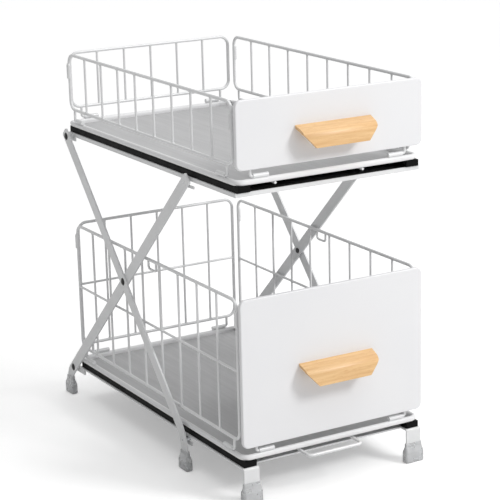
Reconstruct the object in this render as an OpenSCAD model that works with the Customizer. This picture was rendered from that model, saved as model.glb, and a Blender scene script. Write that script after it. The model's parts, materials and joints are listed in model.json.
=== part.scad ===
// Two-tier pull-out cabinet basket for a kitchen base unit. Two wire baskets
// run on ball-bearing slides. Crossed strap legs carry the upper pair of rails.

/* [Overall] */
// Height from the lower tray to the upper tray
tier_pitch = 335; // [275:1:405]
// Width of a tray across its rolled rim
tray_w = 256; // [220:1:320]
// Depth of a tray from front to back
tray_d = 455; // [380:1:560]
// Height of the lower tray's underside over the floor
tray_lift = 52; // [48:1:62]

/* [Baskets] */
// Height of the lower wire walls over their tray's underside
low_wall_h = 200; // [150:1:250]
// Height of the upper wire walls over their tray's underside
high_wall_h = 99.5; // [80:0.5:140]
// Diameter of the wire that frames a wall
frame_wire = 4.2; // [3.2:0.1:4.8]
// Diameter of the wires that fill a wall
fill_wire = 3; // [2:0.1:4]
// Upright wires inside a side wall
side_wires = 8; // [5:1:12]
// Upright wires inside a rear or front wall
rear_wires = 5; // [3:1:8]
// Diameter of the wire that turns in a hinge sleeve
pin_wire = 3.4; // [2.6:0.1:3.8]
// Length of a hinge sleeve
sleeve_len = 21; // [14:1:30]

/* [Fronts] */
// How far a front panel stands out past the tray at each side
panel_over = 0.8; // [0:0.1:3]
// How far a front panel wraps back round its frame
panel_wrap = 4.6; // [4:0.1:5]
// Width of a wooden handle at the panel
handle_w = 105; // [80:1:160]
// How far a handle stands out in front of its panel
handle_reach = 22.4; // [18:0.2:30]

/* [Slides] */
// Width of a slide
slide_w = 17; // [15:0.5:20]
// Height of a slide from its rail to the tray
slide_h = 8; // [7.5:0.1:10]
// Diameter of a bearing ball
ball_d = 3.5; // [3:0.1:3.6]
// Length of a ball cage
cage_len = 140; // [90:5:150]

/* [Legs] */
// Width of a leg strap
leg_w = 15; // [12:0.5:20]
// Thickness of a leg strap
leg_t = 2.4; // [1.6:0.1:3]
// Diameter of a pivot bolt's shank
bolt_d = 5; // [4:0.1:6]
// Distance of the outer legs' feet behind the tray's front
outer_foot_y = 132; // [120:1:150]

/* [Hidden] */
$fn = 48;

// Clearances
run_fit = 0.05;       // radial, between a pin or ball and what it turns or rolls in
slip = 0.1;           // between flat faces that slide past each other
weld = 0.02;          // between a sleeve and the rim that it is welded along
eps = 0.01;

// Tray
tray_half = tray_w / 2;
tray_front = -2;
tray_rear = tray_front + tray_d;
rim_w = 6;
rim_h = 7;
tray_corner = 12;
floor_t = 1.2;

// Rails and bars under the slides
rail_w = 21;
rail_t = 2;
flange_h = 5;         // of the upper rails, over the studs' way forward
rail_out = tray_half;
rail_in = rail_out - rail_w;
rail_mid = rail_out - rail_w / 2;
rail_rear = tray_rear - 1;
ear_t = 2;
ear_r = bolt_d / 2 + 3.7;
bar_w = 22;
catch_d = 3;
tie_up = slide_h - catch_d - 0.3;     // stays under the catch wire that slides over it
low_bar_y = 9;
bend_r = 3;
foot_face_y = -4;

// Slides
slide_rear = tray_rear - 4;
channel_front = 0.3;
channel_t = 1;
wall_in = 7;
wall_out = slide_w / 2;
ball_u = 5.7;
ball_w = slide_h * 0.44;
groove_r = ball_d / 2 + run_fit;
runner_in = 2.9;
runner_out = 4.4;
runner_top = slide_h - 1;
cage_t = 0.6;
cage_y = 155;
balls_per_row = 5;

// Walls: the hinge axis lies over the middle of the rim
frame_r = frame_wire / 2;
pin_r = pin_wire / 2;
sleeve_r = pin_r + run_fit + 0.95;
axis_up = rim_h + sleeve_r + weld;
wall_foot = 22;
side_x = tray_half - 1.4;
side_y0 = 6.5;
side_y1 = tray_rear - 12;
rear_y = tray_rear - 3;
rear_half = side_x - frame_r - 3.0;
loop_r = 12;
mid_wire_up = (wall_foot + low_wall_h) / 2;
hinge_leg_x = tray_half - 20.5;
hinge_leg_y = [20, tray_rear - 23];
pin_bend = 3;
hook_y = 209;
hook_w = 20.5;
hook_drop_h = 12;
clip_len = 20;
clip_r = 2.7;

// Front panel and the wire frame in it
panel_t = 1;
panel_w = tray_w + 2 * panel_over;
panel_face = -5.2;
front_axis_y = panel_face + panel_wrap + slip + pin_r;
panel_corner = 8;
panel_round = 1.6;
front_frame_y = panel_face + panel_t + frame_r + 0.05;

// Handle: a thin bent lip of wood with slanted ends, on a seat block
handle_x = 2.2;
handle_t = 4;
handle_tilt = 20;
lip_angle = 78;
handle_bend = 16;
handle_seat_h = 13;
handle_seat_t = 7;
handle_h = 25.2;
lip_half = handle_w / 2 - 16;
handle_under_top = 36.6;
handle_low_under_top = 90.6;
screw_x = 30;
screw_d = 4;
screw_in = 5.5;

// Legs, inner pair nearest the baskets
inner_in = tray_half + 3;
outer_in = inner_in + leg_t + 0.2;
pivot_low_z = rail_z(0) - bolt_d / 2 - 0.5;
pivot_high_z = rail_z(1) - bolt_d / 2 - 2;
pivot_low = [tray_rear + 10, pivot_low_z];
pivot_high = [tray_rear - 11, pivot_high_z];
stud_d = 5;
stud_gap = 0.3;       // under the flange that a stud slides along when the frame folds
hook_high = [115, rail_z(1) - flange_h - stud_gap - stud_d / 2];
hook_low = [outer_foot_y + 4, pivot_low_z - 3];
inner_foot_y = tray_rear + 22;
outer_bend_r = 60;
inner_bend_r = 22;
leg_over = 9;
stud_over = 12;
tip_r = 3;
tip_steps = 6;
bend_steps = 16;
slot_h = stud_d + 0.8;
head_d = bolt_d + 5;
head_t = 1.8;
tail_d = bolt_d + 2;
tail_t = 1.6;
cap_wall = 1.3;
cap_sole = 3;
cap_h = 25;
cap_fit = 0.02;       // between a cap and the strap that it grips

// Direction of a leg's straight stretch, in degrees over the level
function rise(a, b) = atan2(abs(b[1] - a[1]), abs(b[0] - a[0]));
outer_rise = rise([outer_foot_y, pivot_low_z], pivot_high);
inner_rise = rise(pivot_low, hook_high);
// Where the legs cross: both lines are written as height over depth
outer_slope = tan(outer_rise);
inner_slope = tan(inner_rise);
cross_y = (outer_slope * outer_foot_y + inner_slope * pivot_low[0])
    / (outer_slope + inner_slope);
crossing = [cross_y, pivot_low_z + inner_slope * (pivot_low[0] - cross_y)];

// The part's origin is on the floor, midway between its front and its back
cap_len = 22.5;
y_front = panel_face - handle_reach;
y_back = inner_foot_y + cap_len / 2;
y_mid = (y_front + y_back) / 2;

function tray_z(t) = tray_lift + t * tier_pitch;
function rail_z(t) = tray_z(t) - slide_h;
function wall_h(t) = t == 0 ? low_wall_h : high_wall_h;
function axis_z(t) = tray_z(t) + axis_up;
function panel_foot_z(t) = tray_z(t) + (t == 0 ? 17 : 18.4);

// ---------------------------------------------------------------- helpers

// Puts a piece, drawn from the tray's front edge, into the part's frame
module placed() {
    translate([0, -y_mid, 0]) children();
}

// s = 1 is the right side, s = -1 mirrors the piece to the left side
module on_side(s) {
    if (s > 0) children();
    else mirror([1, 0, 0]) children();
}

// Round bar along an axis from a point
module bar_x(p, len, d) { translate(p) rotate([0, 90, 0]) cylinder(d = d, h = len); }
module bar_y(p, len, d) { translate(p) rotate([-90, 0, 0]) cylinder(d = d, h = len); }
module bar_z(p, len, d) { translate(p) cylinder(d = d, h = len); }

// Quarter bend of wire about the origin, in the XY plane, from angle a
module bend(r, d, a) {
    rotate([0, 0, a]) rotate_extrude(angle = 90) translate([r, 0]) circle(d = d);
}

module rounded(w, h, r) {
    square([w - 2 * r, h], center = true);
    square([w, h - 2 * r], center = true);
    for (x = [-1, 1], y = [-1, 1])
        translate([x * (w / 2 - r), y * (h / 2 - r)]) circle(r = r);
}

// Closed wire loop in the XY plane, given by its wire centre lines
module wire_loop(x0, x1, y0, y1, r, d) {
    for (y = [y0, y1]) bar_x([x0 + r, y, 0], x1 - x0 - 2 * r, d);
    for (x = [x0, x1]) bar_y([x, y0 + r, 0], y1 - y0 - 2 * r, d);
    translate([x1 - r, y1 - r, 0]) bend(r, d, 0);
    translate([x0 + r, y1 - r, 0]) bend(r, d, 90);
    translate([x0 + r, y0 + r, 0]) bend(r, d, 180);
    translate([x1 - r, y0 + r, 0]) bend(r, d, 270);
}

// Upright wires shared out evenly across a loop
module uprights(n, x0, x1, y0, y1, d) {
    pitch = (x1 - x0) / (n + 1);
    for (i = [1:n]) bar_y([x0 + i * pitch, y0, 0], y1 - y0, d);
}

// Stands a flat drawing upright: its x runs back, its y runs up
module upright_side(x) {
    translate([x, 0, 0]) rotate([90, 0, 90]) children();
}

// Stands a flat drawing upright across the part, facing the front
module upright_cross(y) {
    translate([0, y, 0]) rotate([90, 0, 0]) children();
}

// L of hinge wire in the XY plane: down from the loop, then along into a sleeve
module hinge_leg(x, y_top, y_axis, way) {
    turn = way > 0 ? 180 : 270;
    bar_y([x, y_axis + pin_bend, 0], y_top - y_axis - pin_bend, pin_wire);
    translate([x + way * pin_bend, y_axis + pin_bend, 0]) bend(pin_bend, pin_wire, turn);
    start = way > 0 ? x + pin_bend : x - pin_bend - sleeve_len;
    bar_x([start, y_axis, 0], sleeve_len, pin_wire);
}

// ---------------------------------------------------------------- rails

// Side view of a rail that turns down into a front foot
module foot_rail_profile(top, rear) {
    translate([foot_face_y + bend_r, top - rail_t]) square([rear - foot_face_y - bend_r, rail_t]);
    translate([foot_face_y, cap_sole]) square([rail_t, top - bend_r - cap_sole]);
    translate([foot_face_y + bend_r, top - bend_r]) intersection() {
        difference() {
            circle(r = bend_r);
            circle(r = bend_r - rail_t);
        }
        translate([-bend_r, 0]) square(bend_r);
    }
}

// Ear with a slot that opens to the front, for the stud of a leg
module slotted_ear(hook, front, rear, foot, top) {
    difference() {
        translate([front, foot]) square([rear - front, top - foot]);
        translate(hook + [-40, -slot_h / 2]) square([40, slot_h]);
        translate(hook) circle(d = slot_h);
    }
}

// Ear that hangs from a rail and is rounded about its pivot
module ear_outline(pivot, front, top) {
    foot = pivot[1] - ear_r;
    intersection() {
        union() {
            translate(pivot) circle(r = ear_r);
            translate([front, foot]) square([pivot[0] - front, 2 * ear_r]);
        }
        translate([front, foot]) square([pivot[0] - front + ear_r, top - foot]);
    }
}

// That ear as a plate, with the boss that keeps the leg off the rail
module pivot_ear(pivot, front, top, boss_to) {
    upright_side(rail_out - ear_t) linear_extrude(ear_t) ear_outline(pivot, front, top);
    at_leg_point(pivot, rail_out - eps) cylinder(d = head_d, h = boss_to - rail_out + eps);
}

module pivot_hole(pivot) {
    at_leg_point(pivot, rail_out - 5) cylinder(d = bolt_d + 0.04, h = 15);
}

module lower_rail(s) {
    top = rail_z(0);
    color("gainsboro") placed() on_side(s) {
        upright_side(rail_in) linear_extrude(rail_w) foot_rail_profile(top, rail_rear);
        upright_side(rail_out - ear_t) linear_extrude(ear_t)
            slotted_ear(hook_low, hook_low[0] - 10, hook_low[0] + 12, top - 13, top);
        difference() {
            pivot_ear(pivot_low, rail_rear - 14, top, inner_in - slip);
            pivot_hole(pivot_low);
        }
    }
}

module upper_rail(s) {
    top = rail_z(1);
    ear_front = hook_high[0] - 14;
    color("gainsboro") placed() on_side(s) {
        difference() {
            union() {
                translate([rail_in, 0, top - rail_t]) cube([rail_w, slide_rear, rail_t]);
                translate([rail_out - ear_t, 0, top - flange_h])
                    cube([ear_t, slide_rear, flange_h]);
                translate([rail_in, 0, top - flange_h]) cube([rail_w, ear_t, flange_h]);
                pivot_ear(pivot_high, pivot_high[0] - 11, top, outer_in - slip);
            }
            pivot_hole(pivot_high);
            at_leg_point(pivot_high, rail_out - ear_t - 3) cylinder(d = tail_d + 1.5, h = 3);
        }
        upright_side(rail_out - ear_t) linear_extrude(ear_t)
            slotted_ear(hook_high, ear_front, hook_high[0] + 11, hook_high[1] - 6, top);
    }
}

module lower_front_bar() {
    color("gainsboro") placed()
        translate([-rail_in, low_bar_y, rail_z(0) - rail_t]) cube([2 * rail_in, bar_w, rail_t]);
}

module upper_front_bar() {
    top = rail_z(1);
    color("gainsboro") placed() {
        translate([-rail_in, 0, top - rail_t]) cube([2 * rail_in, bar_w, rail_t]);
        translate([-rail_in, 0, top - flange_h]) cube([2 * rail_in, ear_t, flange_h]);
    }
}

// Black strip on the upper front bar that closes the gap under the tray
module upper_front_tie() {
    half = rail_mid - wall_out - 0.3;
    rear = bar_w - 1;
    color("black") placed() translate([-half, 0, rail_z(1)]) {
        translate([0, ear_t, 0]) cube([2 * half, rear - ear_t + 1, 0.8]);
        translate([0, rear, 0]) cube([2 * half, 1, tie_up]);
    }
}

module rear_bar(t) {
    rear = t == 0 ? rail_rear : slide_rear;
    color("gainsboro") placed()
        translate([-rail_in, rear - bar_w, rail_z(t) - rail_t]) cube([2 * rail_in, bar_w, rail_t]);
}

// ---------------------------------------------------------------- slides

module at_slide(s, t) {
    placed() on_side(s) translate([rail_mid, 0, rail_z(t)]) children();
}

module ball_line(front, rear, r) {
    for (u = [-ball_u, ball_u]) bar_y([u, front, ball_w], rear - front, 2 * r);
}

module channel(s, t) {
    len = slide_rear - channel_front;
    color("black") at_slide(s, t) difference() {
        translate([-wall_out, channel_front, 0]) cube([slide_w, len, runner_top - 0.4]);
        translate([-wall_in, channel_front - 1, channel_t])
            cube([2 * wall_in, len + 2, slide_h]);
        ball_line(channel_front - 1, slide_rear + 1, groove_r);
    }
}

module runner(s, t) {
    color("black") at_slide(s, t) {
        difference() {
            union() {
                translate([-runner_out, 0, channel_t + 0.9])
                    cube([2 * runner_out, slide_rear, slide_h - channel_t - 0.9]);
                translate([-wall_out, 0, runner_top]) cube([slide_w, slide_rear, 1]);
            }
            translate([-runner_in, -1, -1]) cube([2 * runner_in, slide_rear + 2, runner_top + 1]);
            ball_line(-1, slide_rear + 1, groove_r);
        }
        translate([-wall_out, tray_front + 0.5, 0.2])
            cube([slide_w, -tray_front - 0.5 + eps, slide_h - 0.2]);
    }
}

module ball_cage(s, t) {
    pitch = cage_len / balls_per_row;
    web_z = channel_t + 0.15;
    half = ball_u + cage_t / 2;
    color("silver") at_slide(s, t) {
        difference() {
            translate([-half, cage_y, web_z]) cube([2 * half, cage_len, ball_w + 2 - web_z]);
            translate([-half + cage_t, cage_y - 1, web_z + 0.5])
                cube([2 * (half - cage_t), cage_len + 2, slide_h]);
            for (i = [1:balls_per_row])
                bar_x([-slide_w, cage_y + (i - 0.5) * pitch, ball_w], 2 * slide_w,
                    ball_d + 2 * run_fit);
        }
        for (i = [1:balls_per_row], u = [-ball_u, ball_u])
            translate([u, cage_y + (i - 0.5) * pitch, ball_w]) sphere(d = ball_d);
    }
}

// ---------------------------------------------------------------- trays

module rim_profile() {
    r = rim_w / 2;
    translate([0, r]) circle(r = r);
    translate([0, rim_h - r]) circle(r = r);
    translate([-r, r]) square([rim_w, rim_h - rim_w]);
}

module tray(t) {
    half = tray_half - rim_w / 2;
    y0 = tray_front + rim_w / 2;
    y1 = tray_rear - rim_w / 2;
    r = tray_corner - rim_w / 2;
    color("darkgray") placed() translate([0, 0, tray_z(t)]) {
        translate([0, (y0 + y1) / 2, 0]) linear_extrude(floor_t)
            rounded(2 * half, y1 - y0, r);
        for (x = [-half, half])
            translate([x, y0 + r, 0]) rotate([-90, 0, 0])
                linear_extrude(y1 - y0 - 2 * r) mirror([0, 1]) rim_profile();
        for (y = [y0, y1])
            translate([-half + r, y, 0]) rotate([90, 0, 90])
                linear_extrude(2 * half - 2 * r) rim_profile();
        for (c = [[half - r, y1 - r, 0], [-half + r, y1 - r, 90],
                  [-half + r, y0 + r, 180], [half - r, y0 + r, 270]])
            translate([c[0], c[1], 0]) rotate([0, 0, c[2]])
                rotate_extrude(angle = 90) translate([r, 0]) rim_profile();
    }
}

// Tubes welded along the rim, two for each wall
module hinge_sleeves(t) {
    z = axis_z(t);
    gap = pin_bend + 0.5;
    len = sleeve_len - 0.5;
    color("white") placed() difference() {
        union() for (s = [-1, 1]) {
            x_in = hinge_leg_x - gap - len;
            for (y = [front_axis_y, rear_y])
                on_side(s) bar_x([x_in, y, z], len, 2 * sleeve_r);
            bar_y([s * side_x, hinge_leg_y[0] + gap, z], len, 2 * sleeve_r);
            bar_y([s * side_x, hinge_leg_y[1] - gap - len, z], len, 2 * sleeve_r);
        }
        for (y = [front_axis_y, rear_y])
            bar_x([-tray_half, y, z], tray_w, pin_wire + 2 * run_fit);
        for (s = [-1, 1])
            bar_y([s * side_x, 0, z], tray_d, pin_wire + 2 * run_fit);
    }
}

// Pull wire under the lower tray: welded on at its back, it dips towards the front
module lower_pull_wire() {
    d = 4;
    r = 6;
    x0 = -45;
    x1 = 31;
    back = 62;
    len = 80;
    dip = 1.8;
    color("white") placed()
        translate([0, back, tray_z(0) - d / 2]) rotate([dip, 0, 0]) translate([0, -len, 0]) {
            for (x = [x0, x1]) bar_y([x, r, 0], len - r, d);
            bar_x([x0 + r, 0, 0], x1 - x0 - 2 * r, d);
            translate([x0 + r, r, 0]) bend(r, d, 180);
            translate([x1 - r, r, 0]) bend(r, d, 270);
        }
}

// Catch wire under the upper tray: its two ends show below the rim
module upper_catch_wire() {
    d = catch_d;
    r = 6;
    z = tray_z(1) - d / 2;
    color("white") placed() translate([0, 0, z]) {
        for (x = [-75, 46]) bar_y([x, tray_front + 1, 0], 40, d);
        bar_x([-75 + r, tray_front + 41 + r, 0], 121 - 2 * r, d);
        translate([-75 + r, tray_front + 41, 0]) bend(r, d, 90);
        translate([46 - r, tray_front + 41, 0]) bend(r, d, 0);
    }
}

// ---------------------------------------------------------------- wire walls

// Side wall, drawn with x back and y up
module side_wall(s, t) {
    foot = tray_z(t) + wall_foot + frame_r;
    top = tray_z(t) + wall_h(t) - frame_r;
    color("white") placed() upright_side(s * side_x) {
        wire_loop(side_y0, side_y1, foot, top, loop_r, frame_wire);
        uprights(side_wires, side_y0, side_y1, foot, top, fill_wire);
        if (t == 0) bar_x([side_y0, tray_z(t) + mid_wire_up, 0], side_y1 - side_y0, fill_wire + 0.2);
        hinge_leg(hinge_leg_y[0], foot, axis_z(t), 1);
        hinge_leg(hinge_leg_y[1], foot, axis_z(t), -1);
        if (t == 0) finger_loop(top);
    }
}

// Small loop under the top wire, to pull the wall over by
module finger_loop(top) {
    r = 4;
    y = top - hook_drop_h;
    for (x = [hook_y, hook_y + hook_w]) bar_y([x, y + r, 0], top - y - r, fill_wire);
    bar_x([hook_y + r, y, 0], hook_w - 2 * r, fill_wire);
    translate([hook_y + r, y + r, 0]) bend(r, fill_wire, 180);
    translate([hook_y + hook_w - r, y + r, 0]) bend(r, fill_wire, 270);
}

module rear_wall(t) {
    foot = tray_z(t) + wall_foot + frame_r;
    top = tray_z(t) + wall_h(t) - frame_r;
    half = rear_half;
    color("white") placed() upright_cross(rear_y) {
        wire_loop(-half, half, foot, top, loop_r, frame_wire);
        uprights(rear_wires, -half, half, foot, top, fill_wire);
        if (t == 0) bar_x([-half, tray_z(t) + mid_wire_up, 0], 2 * half, fill_wire + 0.2);
        hinge_leg(-hinge_leg_x, foot, axis_z(t), 1);
        hinge_leg(hinge_leg_x, foot, axis_z(t), -1);
    }
}

// Wire frame inside a front panel
module front_frame(t) {
    foot = panel_foot_z(t) + panel_t + frame_r + 0.1;
    top = tray_z(t) + wall_h(t) - panel_t - frame_r - 0.1;
    half = panel_w / 2 - panel_t - frame_r - 0.1;
    color("white") placed() {
        upright_cross(front_frame_y) {
            wire_loop(-half, half, foot, top, panel_corner - panel_t - frame_r, frame_wire);
            uprights(rear_wires, -half, half, foot, top, fill_wire);
        }
        upright_cross(front_axis_y) {
            hinge_leg(-hinge_leg_x, foot + 8, axis_z(t), 1);
            hinge_leg(hinge_leg_x, foot + 8, axis_z(t), -1);
        }
    }
}

// Spring clips on the end wires of a side wall, open towards the basket
module corner_clips(s, t) {
    top = tray_z(t) + wall_h(t) - loop_r - frame_r;
    color("white") placed() on_side(s) for (y = [side_y0, side_y1]) difference() {
        translate([side_x + 1.1, y, top - clip_len]) {
            cylinder(r = clip_r, h = clip_len - 2);
            translate([0, 0, clip_len - 2]) cylinder(r1 = clip_r, r2 = clip_r - 0.8, h = 2);
        }
        bar_z([side_x, y, top - clip_len - 1], clip_len + 2, frame_wire + 2 * run_fit);
    }
}

// ---------------------------------------------------------------- fronts

// Plate with rounded outline and rolled front edge, face up on the XY plane
module rolled_plate(w, h, r, e, d) {
    linear_extrude(d - e) rounded(w, h, r);
    linear_extrude(d) rounded(w - 2 * e, h - 2 * e, r - e);
    for (x = [-w / 2 + e, w / 2 - e]) bar_y([x, -h / 2 + r, d - e], h - 2 * r, 2 * e);
    for (y = [-h / 2 + e, h / 2 - e]) bar_x([-w / 2 + r, y, d - e], w - 2 * r, 2 * e);
    for (a = [0:3]) {
        c = [[1, 1], [-1, 1], [-1, -1], [1, -1]][a];
        translate([c[0] * (w / 2 - r), c[1] * (h / 2 - r), d - e]) bend(r - e, 2 * e, 90 * a);
    }
}

module front_panel(t) {
    foot = panel_foot_z(t);
    top = panel_top(t);
    h = top - foot;
    r = panel_corner;
    color("whitesmoke") placed() difference() {
        translate([0, panel_face + panel_wrap, (foot + top) / 2]) rotate([90, 0, 0])
            rolled_plate(panel_w, h, r, panel_round, panel_wrap);
        translate([0, panel_face + panel_wrap + 1, (foot + top) / 2]) rotate([90, 0, 0])
            linear_extrude(panel_wrap + 1 - panel_t)
                rounded(panel_w - 2 * panel_t, h - 2 * panel_t, r - panel_t);
        for (x = [-screw_x, screw_x])
            bar_y([handle_x + x, panel_face - 1, screw_z(t)], panel_t + 2, screw_d + 0.3);
    }
}

function panel_top(t) = tray_z(t) + wall_h(t) + 0.5;
function handle_top(t) = panel_top(t) - (t == 0 ? handle_low_under_top : handle_under_top);
function screw_z(t) = handle_top(t) - 7.5;

// Length of the handle's top shelf that puts its lip's lower edge at handle_reach
lip_lean = 90 - lip_angle;
shelf_run = (handle_reach + handle_bend * (sin(handle_tilt) - cos(lip_lean))
    - (handle_h - handle_bend * (cos(handle_tilt) - sin(lip_lean))) * tan(lip_lean))
    / (cos(handle_tilt) - sin(handle_tilt) * tan(lip_lean));

// Section of a handle: x runs out from the panel, y runs up from its top edge
module handle_section() {
    centre = [shelf_run * cos(handle_tilt) - handle_bend * sin(handle_tilt),
        -shelf_run * sin(handle_tilt) - handle_bend * cos(handle_tilt)];
    rotate(-handle_tilt) translate([-5, -handle_t]) square([shelf_run + 5.1, handle_t]);
    translate(centre) {
        ring_part(handle_bend - handle_t / 2, handle_t, lip_lean - 1, 91 - handle_tilt);
        rotate(-lip_angle) translate([-0.1, handle_bend - handle_t]) square([16, handle_t]);
    }
}

// Section of the block behind the lip that the screws go into
module seat_section() {
    polygon([[0, -handle_seat_h], [handle_seat_t, -handle_seat_h],
        [handle_seat_t, -handle_seat_t * tan(handle_tilt) - 1], [0, -1]]);
}

module handle(t) {
    half = handle_w / 2;
    seat_half = screw_x + 9;
    color("burlywood") placed() translate([handle_x, panel_face, handle_top(t)]) difference() {
        union() {
            intersection() {
                translate([-half, 0, 0]) rotate([90, 0, 90]) linear_extrude(handle_w)
                    mirror([1, 0]) handle_section();
                rotate([90, 0, 0]) linear_extrude(handle_reach + 1)
                    polygon([[-half, 1], [half, 1], [half - 2, -9.5], [lip_half, -handle_h],
                        [-lip_half, -handle_h], [2 - half, -9.5]]);
            }
            translate([-seat_half, 0, 0]) rotate([90, 0, 90]) linear_extrude(2 * seat_half)
                mirror([1, 0]) seat_section();
        }
        for (x = [-screw_x, screw_x])
            bar_y([x, -screw_in - 0.3, screw_z(t) - handle_top(t)], screw_in + 1, screw_d + 0.04);
    }
}

module handle_screws(t) {
    color("silver") placed() for (x = [handle_x - screw_x, handle_x + screw_x]) {
        bar_y([x, panel_face - screw_in, screw_z(t)], panel_t + screw_in + eps, screw_d);
        translate([x, panel_face + panel_t, screw_z(t)]) rotate([-90, 0, 0]) difference() {
            cylinder(d1 = 7.4, d2 = 5.4, h = 2);
            translate([0, 0, 1.2]) cube([5, 0.9, 2], center = true);
            translate([0, 0, 1.2]) cube([0.9, 5, 2], center = true);
        }
    }
}

// ---------------------------------------------------------------- legs

// Wedge of a ring about the origin between two angles
module ring_part(r, w, a, b) {
    far = 2 * r;
    m = (a + b) / 2;
    intersection() {
        difference() {
            circle(r = r + w / 2);
            circle(r = r - w / 2);
        }
        polygon([[0, 0], far * [cos(a), sin(a)], far * [cos(m), sin(m)], far * [cos(b), sin(b)]]);
    }
}

// Points along an arc from angle a to angle b
function arc(c, r, a, b, n) = [for (i = [0:n]) let (t = a + (b - a) * i / n) c + r * [cos(t), sin(t)]];

// Outline of a leg about its corner: upright foot, a bend, a straight stretch
// that rises at an angle, and an end with both corners rounded off
function leg_outline(foot, r, angle, len) =
    let (turn = 90 - angle, half = leg_w / 2, c = [r, -r * tan(turn / 2)],
        along = [cos(angle), sin(angle)], across = [-sin(angle), cos(angle)],
        tip = (len - tip_r) * along, side = (half - tip_r) * across)
    concat([[-half, foot]], arc(c, r + half, 180, 180 - turn, bend_steps),
        arc(tip + side, tip_r, angle + 90, angle, tip_steps),
        arc(tip - side, tip_r, angle, angle - 90, tip_steps),
        arc(c, r - half, 180 - turn, 180, bend_steps), [[half, foot]]);

// Side view of a leg. way = 1 leans back as it rises, way = -1 leans forward.
module leg_profile(foot_y, corner_z, r, angle, len, way) {
    translate([foot_y, corner_z]) mirror([way > 0 ? 0 : 1, 0])
        polygon(leg_outline(cap_sole - corner_z, r, angle, len));
}

inner_corner = [inner_foot_y, pivot_low_z - inner_slope * (inner_foot_y - pivot_low[0])];
function dist(a, b) = norm([b[0] - a[0], b[1] - a[1]]);

module at_leg_point(p, x) {
    translate([x, p[0], p[1]]) rotate([0, 90, 0]) children();
}

// Low dome on the XY plane
module dome(d, h) {
    r = (d * d / 4 + h * h) / (2 * h);
    rotate_extrude() intersection() {
        translate([0, h - r]) circle(r = r, $fn = 4 * $fn);
        square([d / 2, h]);
    }
}

module inner_leg_profile() {
    leg_profile(inner_corner[0], inner_corner[1], inner_bend_r, inner_rise,
        dist(inner_corner, hook_high) + stud_over, -1);
}

module outer_leg_profile() {
    leg_profile(outer_foot_y, pivot_low_z, outer_bend_r, outer_rise,
        dist([outer_foot_y, pivot_low_z], pivot_high) + leg_over, 1);
}

module inner_leg(s) {
    color("silver") placed() on_side(s) difference() {
        upright_side(inner_in) linear_extrude(leg_t) inner_leg_profile();
        for (p = [pivot_low, crossing])
            at_leg_point(p, inner_in - 5) cylinder(d = bolt_d + 2 * run_fit, h = leg_t + 10);
        at_leg_point(hook_high, inner_in - 5) cylinder(d = 3 + 0.04, h = leg_t + 10);
    }
}

module outer_leg(s) {
    color("silver") placed() on_side(s) difference() {
        upright_side(outer_in) linear_extrude(leg_t) outer_leg_profile();
        at_leg_point(pivot_high, outer_in - 5)
            cylinder(d = bolt_d + 2 * run_fit, h = leg_t + 10);
        at_leg_point(crossing, outer_in - 5) cylinder(d = bolt_d + 0.04, h = leg_t + 10);
        at_leg_point(hook_low, outer_in - 5) cylinder(d = 3 + 0.04, h = leg_t + 10);
    }
}

// Studs riveted to the front ends of the legs; they lie in the ears' slots
module studs(p, leg_in) {
    tip = rail_out - ear_t - 0.8;
    collar = rail_out + 0.4;
    color("silver") placed() for (s = [-1, 1]) on_side(s) {
        at_leg_point(p, tip) cylinder(d = stud_d, h = leg_in - tip);
        at_leg_point(p, collar) cylinder(d = stud_d + 3, h = leg_in - collar);
        at_leg_point(p, leg_in - eps) cylinder(d = 3, h = leg_t + eps);
    }
}

// Bolt through an ear and a leg: domed head outside, clenched tail inside
module pivot_bolts(p, leg_out) {
    color("black") placed() for (s = [-1, 1]) on_side(s) {
        tail = rail_out - ear_t - tail_t;
        at_leg_point(p, tail) cylinder(d = bolt_d, h = leg_out + slip - tail + eps);
        at_leg_point(p, tail) cylinder(d = tail_d, h = tail_t);
        at_leg_point(p, leg_out + slip) dome(head_d, head_t);
    }
}

module crossing_rivets() {
    inside = inner_in - slip - 1.2;
    color("black") placed() for (s = [-1, 1]) on_side(s) {
        at_leg_point(crossing, inside) cylinder(d = bolt_d, h = outer_in + leg_t - inside + eps);
        at_leg_point(crossing, inside) cylinder(d = tail_d, h = 1.2);
        at_leg_point(crossing, outer_in + leg_t) dome(head_d, head_t);
    }
}

// ---------------------------------------------------------------- foot caps

// Soft cap: a wide foot with a rounded sole, sloped shoulders, and a collar that
// fits round the strap. len runs along x, wide along y.
module foot_cap(len, wide, strap_w, strap_t) {
    foot_h = 13.5;
    shoulder_h = 20.5;
    sole = 1.2;
    collar_h = cap_h;
    module slice(z, h, l, w, r) { translate([0, 0, z]) linear_extrude(h) rounded(l, w, r); }
    hull() {
        slice(0, 0.2, len - 2 * sole, wide - 2 * sole, 3 - sole);
        slice(sole, foot_h - sole, len, wide, 3);
    }
    hull() {
        slice(foot_h - 0.2, 0.2, len, wide, 3);
        slice(shoulder_h, 0.2, strap_w + 2 * cap_wall, strap_t + 2 * cap_wall, 1.5);
    }
    slice(foot_h, collar_h - foot_h, strap_w + 2 * cap_wall, strap_t + 2 * cap_wall, 1.5);
}

module front_foot_cap(s) {
    color("lightgray") placed() on_side(s) difference() {
        translate([rail_mid, foot_face_y + rail_t / 2, 0]) foot_cap(27, 11, rail_w, rail_t);
        translate([rail_in - cap_fit, foot_face_y - cap_fit, cap_sole])
            cube([rail_w + 2 * cap_fit, rail_t + 2 * cap_fit, cap_h]);
    }
}

// Cap of a leg; the child is the leg's side view, which the slot follows
module leg_cap(foot_y, leg_in) {
    translate([leg_in + leg_t / 2, foot_y, 0]) rotate([0, 0, 90]) foot_cap(cap_len, 10, leg_w, leg_t);
}

module leg_slot(leg_in) {
    upright_side(leg_in - cap_fit) linear_extrude(leg_t + 2 * cap_fit) offset(delta = cap_fit)
        children();
}

module inner_leg_cap(s) {
    color("lightgray") placed() on_side(s) difference() {
        leg_cap(inner_foot_y, inner_in);
        leg_slot(inner_in) inner_leg_profile();
    }
}

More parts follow.
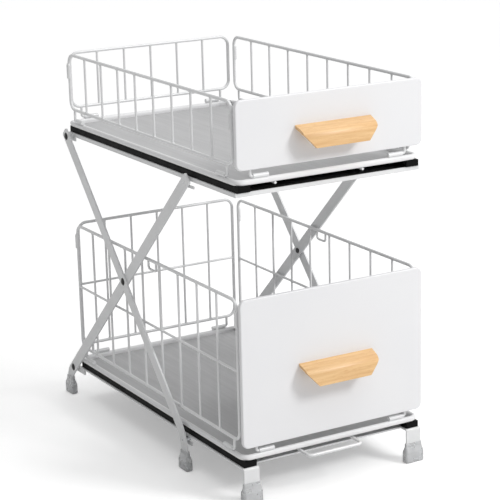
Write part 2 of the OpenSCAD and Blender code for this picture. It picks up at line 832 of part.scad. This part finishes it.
module outer_leg_cap(s) {
    color("lightgray") placed() on_side(s) difference() {
        leg_cap(outer_foot_y, outer_in);
        leg_slot(outer_in) outer_leg_profile();
    }
}

// ---------------------------------------------------------------- nodes

lower_rail(-1);  // lower_rail_left
lower_rail(1);  // lower_rail_right
lower_front_bar();
rear_bar(0);  // lower_rear_bar
front_foot_cap(-1);  // front_foot_cap_left
front_foot_cap(1);  // front_foot_cap_right
channel(-1, 0);  // lower_channel_left
channel(1, 0);  // lower_channel_right
pivot_bolts(pivot_low, inner_in + leg_t);  // rear_bottom_bolts
ball_cage(-1, 0);  // lower_cage_left
ball_cage(1, 0);  // lower_cage_right
tray(0);  // lower_tray
runner(-1, 0);  // lower_runner_left
runner(1, 0);  // lower_runner_right
hinge_sleeves(0);  // lower_hinge_sleeves
front_frame(0);  // lower_front_frame
front_panel(0);  // lower_front_panel
handle(0);  // lower_handle
handle_screws(0);  // lower_handle_screws
lower_pull_wire();
side_wall(-1, 0);  // lower_wall_left
side_wall(1, 0);  // lower_wall_right
rear_wall(0);  // lower_wall_rear
corner_clips(-1, 0);  // lower_clips_left
corner_clips(1, 0);  // lower_clips_right
inner_leg(-1);  // inner_leg_left
inner_leg(1);  // inner_leg_right
inner_leg_cap(-1);  // inner_leg_cap_left
inner_leg_cap(1);  // inner_leg_cap_right
studs(hook_high, inner_in);  // inner_leg_studs
outer_leg(-1);  // outer_leg_left
outer_leg(1);  // outer_leg_right
outer_leg_cap(-1);  // outer_leg_cap_left
outer_leg_cap(1);  // outer_leg_cap_right
studs(hook_low, outer_in);  // outer_leg_studs
crossing_rivets();
upper_rail(-1);  // upper_rail_left
upper_rail(1);  // upper_rail_right
upper_front_bar();
rear_bar(1);  // upper_rear_bar
upper_front_tie();
channel(-1, 1);  // upper_channel_left
channel(1, 1);  // upper_channel_right
pivot_bolts(pivot_high, outer_in + leg_t);  // rear_top_bolts
ball_cage(-1, 1);  // upper_cage_left
ball_cage(1, 1);  // upper_cage_right
tray(1);  // upper_tray
runner(-1, 1);  // upper_runner_left
runner(1, 1);  // upper_runner_right
hinge_sleeves(1);  // upper_hinge_sleeves
front_frame(1);  // upper_front_frame
front_panel(1);  // upper_front_panel
handle(1);  // upper_handle
handle_screws(1);  // upper_handle_screws
upper_catch_wire();
side_wall(-1, 1);  // upper_wall_left
side_wall(1, 1);  // upper_wall_right
rear_wall(1);  // upper_wall_rear
corner_clips(-1, 1);  // upper_clips_left
corner_clips(1, 1);  // upper_clips_right
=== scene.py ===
# %% [markdown]
# # A two-tier pull-out basket unit
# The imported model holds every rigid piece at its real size. This file never moves those pieces.
# It gives each one a finish, adds the small things that a maker's hand leaves behind, such as
# weld beads and rounded sheet edges, and sets up the floor, the light and the camera.

# %% The fixed frame
import json
import math
import random

import bmesh
import bpy
from mathutils import Matrix, Vector


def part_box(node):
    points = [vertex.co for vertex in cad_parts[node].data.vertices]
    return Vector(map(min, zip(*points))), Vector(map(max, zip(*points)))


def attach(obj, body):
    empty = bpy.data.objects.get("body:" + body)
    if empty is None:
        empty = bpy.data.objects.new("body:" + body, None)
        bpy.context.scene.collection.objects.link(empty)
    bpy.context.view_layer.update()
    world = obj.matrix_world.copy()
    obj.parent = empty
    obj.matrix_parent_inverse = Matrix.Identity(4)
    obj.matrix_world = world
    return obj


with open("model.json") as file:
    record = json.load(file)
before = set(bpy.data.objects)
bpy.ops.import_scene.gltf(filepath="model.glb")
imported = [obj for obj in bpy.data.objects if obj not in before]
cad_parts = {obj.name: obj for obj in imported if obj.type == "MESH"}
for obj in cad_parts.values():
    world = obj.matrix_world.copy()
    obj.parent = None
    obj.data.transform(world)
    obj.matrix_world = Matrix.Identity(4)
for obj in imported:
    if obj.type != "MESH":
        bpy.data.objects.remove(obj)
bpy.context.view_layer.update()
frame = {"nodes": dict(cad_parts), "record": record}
NODES = frame["nodes"]
MM = 0.001


print("pieces in the frame:", len(NODES))

# %% [markdown]
# ## The camera
# The unit was photographed from its front left, a little above the upper basket, through a long
# lens. The camera's place was worked out from corners whose real sizes are known. A look-at
# constraint would be shorter, but the picture leans by a little more than a degree, so the
# camera's three axes are built by hand from yaw, pitch and roll.

# %% Camera
CAMERA_PLACE = Vector((-1.106, -1.9494, 0.850))
CAMERA_YAW = math.radians(30.06)
CAMERA_PITCH = math.radians(-15.19)
CAMERA_ROLL = math.radians(-1.38)
SENSOR_WIDTH = 36.0
FOCAL_PIXELS = 1785.4
PICTURE_WIDTH = 500
FARTHEST_SEEN = 60.0

forward = Vector((math.sin(CAMERA_YAW) * math.cos(CAMERA_PITCH),
                  math.cos(CAMERA_YAW) * math.cos(CAMERA_PITCH),
                  math.sin(CAMERA_PITCH)))
level_right = Vector((math.cos(CAMERA_YAW), -math.sin(CAMERA_YAW), 0))
level_up = level_right.cross(forward)
right = math.cos(CAMERA_ROLL) * level_right + math.sin(CAMERA_ROLL) * level_up
up = math.cos(CAMERA_ROLL) * level_up - math.sin(CAMERA_ROLL) * level_right
turn = Matrix((right, up, -forward)).transposed().to_4x4()

camera_data = bpy.data.cameras.new("camera")
camera_data.sensor_width = SENSOR_WIDTH
camera_data.lens = FOCAL_PIXELS / PICTURE_WIDTH * SENSOR_WIDTH
camera_data.clip_end = FARTHEST_SEEN
camera = bpy.data.objects.new("camera", camera_data)
camera.matrix_world = Matrix.Translation(CAMERA_PLACE) @ turn
bpy.context.scene.collection.objects.link(camera)
bpy.context.scene.camera = camera
print("lens in mm:", round(camera_data.lens, 1))

# %% [markdown]
# ## Building materials from nodes
# Every finish here is one Principled shader that a few noise textures drive. A painted texture
# would need the surfaces unwrapped first. Noise in object coordinates needs nothing, and it keeps
# its real size on every piece. Small helpers, which add a node, fill it in or join it to another,
# keep the recipes short enough to read.

# %% Helpers for nodes


def add_node(owner, kind):
    """A new node in the tree of a material or of the world."""
    return owner.node_tree.nodes.new("ShaderNode" + kind)


def fill_in(node, values):
    """Sets a node's inputs by their names."""
    for name, value in values.items():
        node.inputs[name].default_value = value


def connect(owner, output, entry):
    """Joins one node's output to another node's input."""
    owner.node_tree.links.new(output, entry)


def principled(material):
    """The one shader that each material here starts with."""
    return material.node_tree.nodes["Principled BSDF"]


def new_material(name, colour, roughness, more=None):
    """A material with one Principled shader. More fills in its other inputs."""
    material = bpy.data.materials.new(name)
    material.use_nodes = True
    fill_in(principled(material), {"Base Color": (*colour, 1), "Roughness": roughness})
    fill_in(principled(material), more or {})
    return material


print("node helpers are ready")

# %% [markdown]
# ## Letting noise drive a surface
# No real surface is even. The next helpers turn a noise into three kinds of unevenness: a bump that
# catches the light, a colour that runs between two tones, and a roughness that wanders, as it does
# wherever hands and cloths have been. Blender's noise seldom strays far from its middle, so the
# ramps read only that part of it. Reading it from 0 to 1 would leave each surface almost plain.

# %% Helpers for textures
NOISE_LOW, NOISE_HIGH = 0.3, 0.7


def object_noise(material, per_metre, detail=2.0, stretch=(1, 1, 1)):
    """The output of a noise in real space, with so many bumps to a metre."""
    place = add_node(material, "TexCoord")
    mapping = add_node(material, "Mapping")
    noise = add_node(material, "TexNoise")
    fill_in(mapping, {"Scale": stretch})
    fill_in(noise, {"Scale": per_metre, "Detail": detail})
    connect(material, place.outputs["Object"], mapping.inputs["Vector"])
    connect(material, mapping.outputs["Vector"], noise.inputs["Vector"])
    return noise.outputs["Fac"]


def add_bump(material, height, strength, depth):
    """Bump that follows a texture. Depth is in metres."""
    bump = add_node(material, "Bump")
    fill_in(bump, {"Strength": strength, "Distance": depth})
    connect(material, height, bump.inputs["Height"])
    connect(material, bump.outputs["Normal"], principled(material).inputs["Normal"])


def vary_roughness(material, source, low, high):
    """Lets roughness run from low to high with a texture."""
    spread_out = add_node(material, "MapRange")
    fill_in(spread_out, {"From Min": NOISE_LOW, "From Max": NOISE_HIGH,
                         "To Min": low, "To Max": high})
    connect(material, source, spread_out.inputs["Value"])
    connect(material, spread_out.outputs["Result"], principled(material).inputs["Roughness"])


def ramp_between(material, source, dark, light, start=NOISE_LOW, end=NOISE_HIGH):
    """The output of a ramp that runs between two colours with a texture."""
    ramp = add_node(material, "ValToRGB")
    stops = ramp.color_ramp.elements
    for stop, position, colour in zip(stops, (start, end), (dark, light)):
        stop.position = position
        stop.color = (*colour, 1)
    connect(material, source, ramp.inputs["Fac"])
    return ramp.outputs["Color"]


def mix_colours(material, amount, first, second):
    """The output of a mix from one ramp's colour to a plain colour."""
    mix = add_node(material, "Mix")
    mix.data_type = "RGBA"
    fill_in(mix, {"B": (*second, 1)})
    connect(material, amount, mix.inputs["Factor"])
    connect(material, first, mix.inputs["A"])
    return mix.outputs["Result"]


def set_colour(material, source):
    """Takes the material's colour from a ramp or a mix."""
    connect(material, source, principled(material).inputs["Base Color"])


print("noise is read from", NOISE_LOW, "to", NOISE_HIGH)

# %% [markdown]
# ## Powder coat
# Wires, straps and rails are steel with a baked powder coat. The powder flows before it sets,
# which leaves a skin with a faint orange peel and a soft sheen. The peel is a noise of about a
# millimetre, and a slower noise shifts the tone where the coat is thinner. A modelled peel would
# need millions of faces, and a bump does the same at this depth. A clear coat on top keeps the
# small bright highlights along a wire, so the wires get more of it than the duller straps.

# %% Powder coats
PEEL_PER_METRE = 900.0
CLOUDS_PER_METRE = 14.0


def powder_coat(name, dark, light, smooth, rough, gloss):
    """A coat with an orange peel, whose tone and roughness each run between two values."""
    coat = new_material(name, light, smooth, more={"Coat Weight": gloss, "Coat Roughness": 0.18})
    clouds = object_noise(coat, CLOUDS_PER_METRE, detail=4.0)
    peel = object_noise(coat, PEEL_PER_METRE, detail=3.0)
    set_colour(coat, ramp_between(coat, clouds, dark, light))
    vary_roughness(coat, clouds, smooth, rough)
    add_bump(coat, peel, strength=0.25, depth=0.06 * MM)
    print("powder coat:", name)
    return coat


wire_coat = powder_coat("wire_powder_coat", dark=(0.75, 0.755, 0.76), light=(0.82, 0.825, 0.83),
                        smooth=0.30, rough=0.40, gloss=0.5)
strap_coat = powder_coat("strap_powder_coat", dark=(0.74, 0.745, 0.75), light=(0.81, 0.815, 0.82),
                         smooth=0.34, rough=0.44, gloss=0.25)

# %% [markdown]
# ## The tray's painted light and shade
# The tray's floor and its rolled bead wear one coat. The floor has a fine texture that stops
# bottles from sliding, and the bead is smooth. Here the bead is almost white, which is painted
# light, and the floor is a dull grey, which is painted shade. One material does both: it measures
# how far a point lies from the tray's middle, and swaps the colour where the floor ends. A second
# material slot would need new faces in the fixed mesh.

# %% The tray's grey floor, which is painted shade
STREAKS_PER_METRE = 220.0
STREAKS_LONG_IN_Y = (1, 0.04, 1)
PEBBLES_PER_METRE = 700.0
# The floor's grey is painted shade. The streaks between its two tones vary at random.
FLOOR_DARK, FLOOR_LIGHT = (0.43, 0.43, 0.435), (0.49, 0.49, 0.495)

tray_coat = new_material("tray_powder_coat", FLOOR_LIGHT, roughness=0.5)
streaks = object_noise(tray_coat, STREAKS_PER_METRE, detail=4.0, stretch=STREAKS_LONG_IN_Y)
floor_tone = ramp_between(tray_coat, streaks, FLOOR_DARK, FLOOR_LIGHT)
pebbles = object_noise(tray_coat, PEBBLES_PER_METRE, detail=3.0)
vary_roughness(tray_coat, pebbles, low=0.40, high=0.55)
add_bump(tray_coat, pebbles, strength=0.3, depth=0.1 * MM)
print("tray floor: streaks along Y")

# %% [markdown]
# ## Where the tray's floor ends
# The bead is a strip of even width round the tray. A point belongs to it if it lies further from
# the tray's middle, in X or in Y, than the floor reaches. Coloured vertices could say the same,
# but the fixed mesh has too few of them for a sharp line, while a few Math nodes cut it exactly.

# %% The tray's near-white bead, which is painted light
BEAD_WIDTH = 6.2 * MM
# The bead's near-white is painted light: the real bead wears the same coat as the floor.
BEAD_PAINTED_LIGHT = (0.84, 0.84, 0.845)


def math_node(owner, operation, number=None):
    """A Math node, with its second number filled in where one is given."""
    node = add_node(owner, "Math")
    node.operation = operation
    if number is not None:
        node.inputs[1].default_value = number
    return node


tray_low, tray_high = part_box("lower_tray")
place = add_node(tray_coat, "TexCoord")
split = add_node(tray_coat, "SeparateXYZ")
connect(tray_coat, place.outputs["Object"], split.inputs["Vector"])
on_bead = math_node(tray_coat, "MAXIMUM")
for axis, letter in enumerate("XY"):
    middle = (tray_low[axis] + tray_high[axis]) / 2
    floor_half = (tray_high[axis] - tray_low[axis]) / 2 - BEAD_WIDTH
    offset = math_node(tray_coat, "SUBTRACT", middle)
    distance = math_node(tray_coat, "ABSOLUTE")
    past_floor = math_node(tray_coat, "GREATER_THAN", floor_half)
    connect(tray_coat, split.outputs[letter], offset.inputs[0])
    connect(tray_coat, offset.outputs["Value"], distance.inputs[0])
    connect(tray_coat, distance.outputs["Value"], past_floor.inputs[0])
    connect(tray_coat, past_floor.outputs["Value"], on_bead.inputs[axis])
# Here the painted light of the bead replaces the floor's painted shade.
set_colour(tray_coat, mix_colours(tray_coat, on_bead.outputs["Value"], floor_tone, BEAD_PAINTED_LIGHT))
print("tray bead:", round(BEAD_WIDTH / MM, 1), "mm wide")

# %% [markdown]
# ## White enamel
# The front panels are folded sheet with a smooth white enamel. It is flatter than powder coat: the
# peel is wider and shallower, and the sheen is even. One slow noise with much detail, like the
# marks that hands leave, moves the roughness, and shifts the colour by so little that only a
# large plain panel shows it.

# %% Panel enamel
WIDE_PEEL_PER_METRE = 160.0
HAND_MARKS_PER_METRE = 9.0

enamel = new_material("panel_enamel", colour=(0.82, 0.82, 0.83), roughness=0.38)
wide_peel = object_noise(enamel, WIDE_PEEL_PER_METRE)
add_bump(enamel, wide_peel, strength=0.12, depth=0.1 * MM)
hand_marks = object_noise(enamel, HAND_MARKS_PER_METRE, detail=5.0)
vary_roughness(enamel, hand_marks, low=0.36, high=0.46)
set_colour(enamel, ramp_between(enamel, hand_marks, dark=(0.81, 0.81, 0.825),
                                light=(0.83, 0.83, 0.84)))
print("enamel for both front panels")

# %% [markdown]
# ## Black steel
# The slides are cold-rolled steel with a thin, dead black finish. A darker colour alone wouldn't
# show it, because black paint still mirrors a white studio, so the specular level is turned down
# until the slides read as black. A noise pulled long in Y gives the marks of the rolls. Bolts are
# blackened and a little shinier, with round specks of oxide.

# %% Black steel
ROLLED_PER_METRE = 2500.0
ROLLED_ALONG_Y = (1, 0.02, 1)
GREASE_PER_METRE = 60.0
OXIDE_PER_METRE = 700.0

slide_black = new_material("slide_black", colour=(0.004, 0.004, 0.004), roughness=0.55,
                           more={"Specular IOR Level": 0.08})
grease = object_noise(slide_black, GREASE_PER_METRE, detail=4.0)
vary_roughness(slide_black, grease, low=0.42, high=0.62)
set_colour(slide_black, ramp_between(slide_black, grease, dark=(0.003, 0.003, 0.003),
                                     light=(0.007, 0.007, 0.007)))
rolling = object_noise(slide_black, ROLLED_PER_METRE, detail=1.0, stretch=ROLLED_ALONG_Y)
add_bump(slide_black, rolling, strength=0.15, depth=0.03 * MM)

bolt_black = new_material("bolt_black", colour=(0.02, 0.02, 0.022), roughness=0.35,
                          more={"Specular IOR Level": 0.3})
oxide = object_noise(bolt_black, OXIDE_PER_METRE, detail=3.0)
set_colour(bolt_black, ramp_between(bolt_black, oxide, dark=(0.010, 0.010, 0.011),
                                    light=(0.030, 0.029, 0.029)))
vary_roughness(bolt_black, oxide, low=0.28, high=0.45)
add_bump(bolt_black, oxide, strength=0.2, depth=0.05 * MM)
print("black steels: slide_black, bolt_black")

# %% [markdown]
# ## Bright steel
# Balls, studs and screws are bare steel. A metal's colour comes from what it mirrors, so the
# shader's Metallic input does most of the work, and the base colour only tints the mirror. Fine
# turning marks, a noise pulled long in X, keep it from looking like chrome.

# %% Bright steel
TURNED_PER_METRE = 3000.0
TURNED_ALONG_X = (0.05, 1, 1)

bright_steel = new_material("bright_steel", colour=(0.62, 0.63, 0.65), roughness=0.25,
                            more={"Metallic": 1.0})
turning = object_noise(bright_steel, TURNED_PER_METRE, detail=1.0, stretch=TURNED_ALONG_X)
vary_roughness(bright_steel, turning, low=0.18, high=0.34)
add_bump(bright_steel, turning, strength=0.1, depth=0.02 * MM)
print("bright steel for balls, studs and screws")

# %% [markdown]
# ## Beech
# The handles are milled from pale beech and oiled. Beech has a straight, close grain with short
# darker flecks, and the grain runs along the handle. Noise stretched along X gives the grain, and
# a second one, cut off high on its ramp, gives the flecks. A wave texture would give stripes, but
# too regular ones. The bump follows the flecks, because the open pores drink the oil.

# %% Beech
GRAIN_PER_METRE = 300.0
FLECKS_PER_METRE = 1900.0
GRAIN_ALONG_X = (0.05, 1, 1)
FLECK_BROWN = (0.64, 0.35, 0.14)
BLACK, WHITE = (0, 0, 0), (1, 1, 1)

beech = new_material("oiled_beech", colour=(0.88, 0.57, 0.27), roughness=0.42,
                     more={"Coat Weight": 0.2, "Coat Roughness": 0.3})
grain = object_noise(beech, GRAIN_PER_METRE, detail=5.0, stretch=GRAIN_ALONG_X)
tone = ramp_between(beech, grain, dark=(0.68, 0.40, 0.17), light=(0.82, 0.54, 0.265))
flecks = object_noise(beech, FLECKS_PER_METRE, detail=1.0, stretch=GRAIN_ALONG_X)
fleck_mask = ramp_between(beech, flecks, BLACK, WHITE, start=0.64, end=0.72)
set_colour(beech, mix_colours(beech, fleck_mask, tone, FLECK_BROWN))
vary_roughness(beech, grain, low=0.36, high=0.52)
add_bump(beech, flecks, strength=0.2, depth=0.08 * MM)
print("beech, with its grain along X")

# %% [markdown]
# ## Foot caps
# The caps are soft clear plastic pushed onto the strap ends. Light goes some way into them, so
# they look milky, and their moulded skin is glossy. Part transmission under a clear coat gives
# both, and is lighter to render than scattering. The skin is smooth: a bump as fine as the powder
# coat's would read as sugar through the plastic.

# %% Cap plastic
MOULD_PER_METRE = 90.0
MILK_PER_METRE = 45.0

cap_plastic = new_material("cap_plastic", colour=(0.76, 0.77, 0.78), roughness=0.25,
                           more={"Transmission Weight": 0.45, "IOR": 1.45,
                                 "Coat Weight": 0.8, "Coat Roughness": 0.06})
mould = object_noise(cap_plastic, MOULD_PER_METRE)
vary_roughness(cap_plastic, mould, low=0.22, high=0.38)
add_bump(cap_plastic, mould, strength=0.1, depth=0.2 * MM)
milk = object_noise(cap_plastic, MILK_PER_METRE)
set_colour(cap_plastic, ramp_between(cap_plastic, milk, dark=(0.72, 0.73, 0.74),
                                     light=(0.82, 0.83, 0.84)))
print("cap plastic, milky")

# %% [markdown]
# ## Giving each piece its finish
# A piece's record names a material slot, such as strap_grey. Sixty lines, one for each piece, would
# do, but one table turns slot names into the finishes made above, so that a new piece in the model
# gets its look with no new line here.

# %% Finishes on the pieces
FINISH_OF_SLOT = {
    "wire_white": wire_coat,
    "strap_grey": strap_coat,
    "tray_grey": tray_coat,
    "panel_white": enamel,
    "slide_black": slide_black,
    "bolt_black": bolt_black,
    "ball_steel": bright_steel,
    "bright_steel": bright_steel,
    "foot_cap": cap_plastic,
    "handle_wood": beech,
}
ROWS = frame["record"]["subparts"]

for row in ROWS:
    materials = NODES[row["node"]].data.materials
    for number in range(len(materials)):
        materials[number] = FINISH_OF_SLOT[row["material_slot"]]
print("finishes on", len(ROWS), "pieces")

# %% [markdown]
# ## Rounded edges
# Pressed straps, folded panels and milled wood have no razor edges. A Weld modifier joins the
# vertices that the file format split, a Bevel rounds each sharp edge by a few tenths of a
# millimetre, and the highlights that then run along the edges do most to make sheet metal look
# real. Modifiers are used rather than edits, because the fixed meshes have to stay as they are.

# %% Edge rounding
EDGE_ROUND = {
    "strap_grey": 0.35 * MM,
    "panel_white": 0.25 * MM,
    "handle_wood": 0.8 * MM,
    "foot_cap": 0.7 * MM,
}
SPLIT_POINTS_APART = 0.01 * MM
SHARP_FROM = math.radians(35)

to_round = [row for row in ROWS if row["material_slot"] in EDGE_ROUND]
for row in to_round:
    piece = NODES[row["node"]]
    weld = piece.modifiers.new("join_split_points", "WELD")
    weld.merge_threshold = SPLIT_POINTS_APART
    bevel = piece.modifiers.new("soft_edges", "BEVEL")
    bevel.width = EDGE_ROUND[row["material_slot"]]
    bevel.segments = 2
    bevel.limit_method = "ANGLE"
    bevel.angle_limit = SHARP_FROM
print("pieces with rounded edges:", len(to_round))

# %% [markdown]
# ## Weld beads
# Each upright of a wire wall is spot-welded to the frame that it ends on. The press squeezes the
# hot steel out into a small collar, which the coat then covers. A smooth cut where two rods meet
# is what gives a computer's wire basket away, so every joint gets a bead: a ball of unit size,
# squashed to its real radii, and swollen by a few hundredths more or less than its neighbour. All
# the beads of one wall are one mesh that moves with it.

# %% A helper for beads
SMALLEST_SWELL, LARGEST_SWELL = 0.92, 1.06
SEED = 7
luck = random.Random(SEED)


def weld_beads(name, body, places, radii):
    """One mesh of squashed balls, a bead at each place, that rides on a body."""
    mesh = bpy.data.meshes.new(name)
    build = bmesh.new()
    for place in places:
        swell = luck.uniform(SMALLEST_SWELL, LARGEST_SWELL)
        size = Matrix.Diagonal([radius * swell for radius in radii] + [1])
        bmesh.ops.create_icosphere(build, subdivisions=2, radius=1,
                                   matrix=Matrix.Translation(place) @ size)
    for face in build.faces:
        face.smooth = True
    build.to_mesh(mesh)
    build.free()
    beads = bpy.data.objects.new(name, mesh)
    bpy.context.scene.collection.objects.link(beads)
    mesh.materials.append(wire_coat)
    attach(beads, body)
    print(name, "has", len(places), "beads")


def spread(low, high, count):
    """Even places between two ends, with none on the ends themselves."""
    return [low + (high - low) * (n + 1) / (count + 1) for n in range(count)]


print("beads swell from", SMALLEST_SWELL, "to", LARGEST_SWELL)

# %% [markdown]
# ## Beads on the walls
# A side wall has eight uprights and a rear wall five, at even distances. Each has a bead near its
# foot and one under the top wire, and on the lower tier another where it crosses the middle wire.

# %% Beads on the side and rear walls
TIERS = ("lower", "upper")
WALLS = ("left", "right", "rear")
FRAME_RADIUS = 2.1 * MM
SIDE_UPRIGHTS = 8
CROSS_UPRIGHTS = 5
WALL_FOOT = 24.1 * MM
MIDDLE_WIRE = 111 * MM
BEAD_RADII = (2.1 * MM, 2.1 * MM, 1.2 * MM)
INSET = 1.9 * MM

for tier in TIERS:
    tray_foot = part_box(tier + "_tray")[0][2]
    for wall in WALLS:
        low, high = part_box(f"{tier}_wall_{wall}")
        levels = [tray_foot + WALL_FOOT + INSET, high[2] - FRAME_RADIUS - INSET]
        if tier == "lower":
            levels.append(tray_foot + MIDDLE_WIRE)
        if wall == "rear":
            middle = (low[1] + high[1]) / 2
            line = spread(low[0] + FRAME_RADIUS, high[0] - FRAME_RADIUS, CROSS_UPRIGHTS)
            spots = [Vector((x, middle, z)) for x in line for z in levels]
        else:
            middle = (low[0] + high[0]) / 2
            line = spread(low[1] + FRAME_RADIUS, high[1] - FRAME_RADIUS, SIDE_UPRIGHTS)
            spots = [Vector((middle, y, z)) for y in line for z in levels]
        weld_beads(f"{tier}_{wall}_wall_beads", f"{tier}_{wall}_wall", spots, BEAD_RADII)

# %% [markdown]
# ## Beads on the front frames
# Behind each front panel stands a wire frame of the same kind, which the panel hides from the
# front. It gets its beads as well, because anyone who looks into the basket sees it. Its lowest
# wire sits at another height on each tier, so those two heights are listed.

# %% Beads on the front frames
FRONT_FOOT = {"lower": 20.2 * MM, "upper": 21.6 * MM}

for tier in TIERS:
    low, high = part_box(tier + "_front_frame")
    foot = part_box(tier + "_tray")[0][2] + FRONT_FOOT[tier]
    line = spread(low[0] + FRAME_RADIUS, high[0] - FRAME_RADIUS, CROSS_UPRIGHTS)
    levels = (foot + INSET, high[2] - FRAME_RADIUS - INSET)
    spots = [Vector((x, low[1] + FRAME_RADIUS, z)) for x in line for z in levels]
    weld_beads(f"{tier}_front_frame_beads", f"{tier}_drawer", spots, BEAD_RADII)

# %% [markdown]
# ## Welds under the hinge sleeves
# The sleeves that the walls turn in are short tubes, tacked to the tray's bead at each end. The
# tack is a low puddle, wider than it is tall, that spreads out from under the tube. The helper for
# beads makes these too, with flatter radii, and they are kept low so that a folding wall clears
# them.

# %% Tacks under the sleeves
SLEEVE_ENDS_Y = (-203.6 * MM, -187.5 * MM, 178.9 * MM, 195.0 * MM)
SLEEVE_ENDS_X = (85.7 * MM, 101.8 * MM)
SIDE_SLEEVE_X = 126.6 * MM
FRONT_SLEEVE_Y, REAR_SLEEVE_Y = -228.1 * MM, 220.7 * MM
SIDE_TACK_RADII = (1.8 * MM, 1.2 * MM, 0.6 * MM)
CROSS_TACK_RADII = (1.2 * MM, 1.8 * MM, 0.6 * MM)
TACK_LIFT = 0.1 * MM

for tier in TIERS:
    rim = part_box(tier + "_tray")[1][2] + TACK_LIFT
    along = [Vector((mirror * SIDE_SLEEVE_X, y, rim)) for mirror in (-1, 1)
             for y in SLEEVE_ENDS_Y]
    weld_beads(tier + "_side_sleeve_tacks", tier + "_drawer", along, SIDE_TACK_RADII)
    across = [Vector((mirror * x, y, rim)) for mirror in (-1, 1) for x in SLEEVE_ENDS_X
              for y in (FRONT_SLEEVE_Y, REAR_SLEEVE_Y)]
    weld_beads(tier + "_cross_sleeve_tacks", tier + "_drawer", across, CROSS_TACK_RADII)

# %% [markdown]
# ## Floor
# A plain pale floor, as in a product studio. Lighting it up to white would burn out the object
# that stands on it. So the last step to white is the floor's own: for rays from the camera it
# glows a little, the object is lit at a plain level, and its shadow stays.

# %% Floor
FLOOR_SIZE = 40.0
FLOOR_PALE = (0.88, 0.88, 0.88)
FLOOR_GLOW = 0.3

half = FLOOR_SIZE / 2
corners = [(-half, -half, 0), (half, -half, 0), (half, half, 0), (-half, half, 0)]
floor_mesh = bpy.data.meshes.new("floor")
floor_mesh.from_pydata(corners, [], [(0, 1, 2, 3)])
floor = bpy.data.objects.new("floor", floor_mesh)
bpy.context.scene.collection.objects.link(floor)

floor_paint = new_material("floor_paint", FLOOR_PALE, roughness=0.55)
paint = principled(floor_paint).outputs["BSDF"]
glow = add_node(floor_paint, "Emission")
fill_in(glow, {"Color": (*WHITE, 1), "Strength": FLOOR_GLOW})
glowing = add_node(floor_paint, "AddShader")
connect(floor_paint, paint, glowing.inputs[0])
connect(floor_paint, glow.outputs["Emission"], glowing.inputs[1])
ray = add_node(floor_paint, "LightPath")
choose = add_node(floor_paint, "MixShader")
connect(floor_paint, ray.outputs["Is Camera Ray"], choose.inputs["Fac"])
connect(floor_paint, paint, choose.inputs[1])
connect(floor_paint, glowing.outputs["Shader"], choose.inputs[2])
surface = floor_paint.node_tree.nodes["Material Output"].inputs["Surface"]
connect(floor_paint, choose.outputs["Shader"], surface)
floor_mesh.materials.append(floor_paint)
print("floor:", FLOOR_SIZE, "m wide")

# %% [markdown]
# ## The room
# The world stands for the pale walls of the studio. As a light it is weak, and only fills the
# shadows. Rays from the camera, and those that metal or plastic sends on, see it bright instead,
# so that gloss shows a pale room. One brightness for all rays would either flatten the shadows or
# leave the steel dark.

# %% World
FILL_STRENGTH = 0.28
ROOM_PALE = (0.8, 0.8, 0.8)

world = bpy.data.worlds.new("studio")
bpy.context.scene.world = world
world.use_nodes = True
fill = world.node_tree.nodes["Background"]
fill_in(fill, {"Color": (*WHITE, 1), "Strength": FILL_STRENGTH})
room = add_node(world, "Background")
fill_in(room, {"Color": (*ROOM_PALE, 1), "Strength": 1.0})
ray = add_node(world, "LightPath")
seen_directly = math_node(world, "MAXIMUM")
connect(world, ray.outputs["Is Camera Ray"], seen_directly.inputs[0])
connect(world, ray.outputs["Is Glossy Ray"], seen_directly.inputs[1])
seen = math_node(world, "MAXIMUM")
connect(world, seen_directly.outputs["Value"], seen.inputs[0])
connect(world, ray.outputs["Is Transmission Ray"], seen.inputs[1])
choose = add_node(world, "MixShader")
connect(world, seen.outputs["Value"], choose.inputs["Fac"])
connect(world, fill.outputs["Background"], choose.inputs[1])
connect(world, room.outputs["Background"], choose.inputs[2])
surface = world.node_tree.nodes["World Output"].inputs["Surface"]
connect(world, choose.outputs["Shader"], surface)
print("world: fill", FILL_STRENGTH)

# %% [markdown]
# ## Lamps
# Two lights do the work: a soft square lamp at the front right, which draws the handles' shadows,
# and a wide light from above. The one from above is a sun with a very wide disc, because a lamp of
# any real size would leave the far floor grey.

# %% Lamps
KEY_PLACE, KEY_AIM = Vector((1.3, -2.0, 1.9)), Vector((0, 0, 0.25))
KEY_SIZE, KEY_WATTS = 0.75, 38
SUN_STRENGTH = 1.45
SUN_DISC = math.radians(70)
SUN_TILT = (math.radians(6), math.radians(10), 0)

key_light = bpy.data.lights.new("key", "AREA")
key_light.size = KEY_SIZE
key_light.energy = KEY_WATTS
key = bpy.data.objects.new("key", key_light)
facing = (KEY_AIM - KEY_PLACE).to_track_quat("-Z", "Y")
key.matrix_world = Matrix.Translation(KEY_PLACE) @ facing.to_matrix().to_4x4()
bpy.context.scene.collection.objects.link(key)

sunlight = bpy.data.lights.new("overhead", "SUN")
sunlight.energy = SUN_STRENGTH
sunlight.angle = SUN_DISC
overhead = bpy.data.objects.new("overhead", sunlight)
overhead.rotation_euler = SUN_TILT
bpy.context.scene.collection.objects.link(overhead)
bpy.context.scene.view_settings.view_transform = "Standard"
print("key lamp", KEY_WATTS, "W, overhead sun", SUN_STRENGTH, "W per square metre")
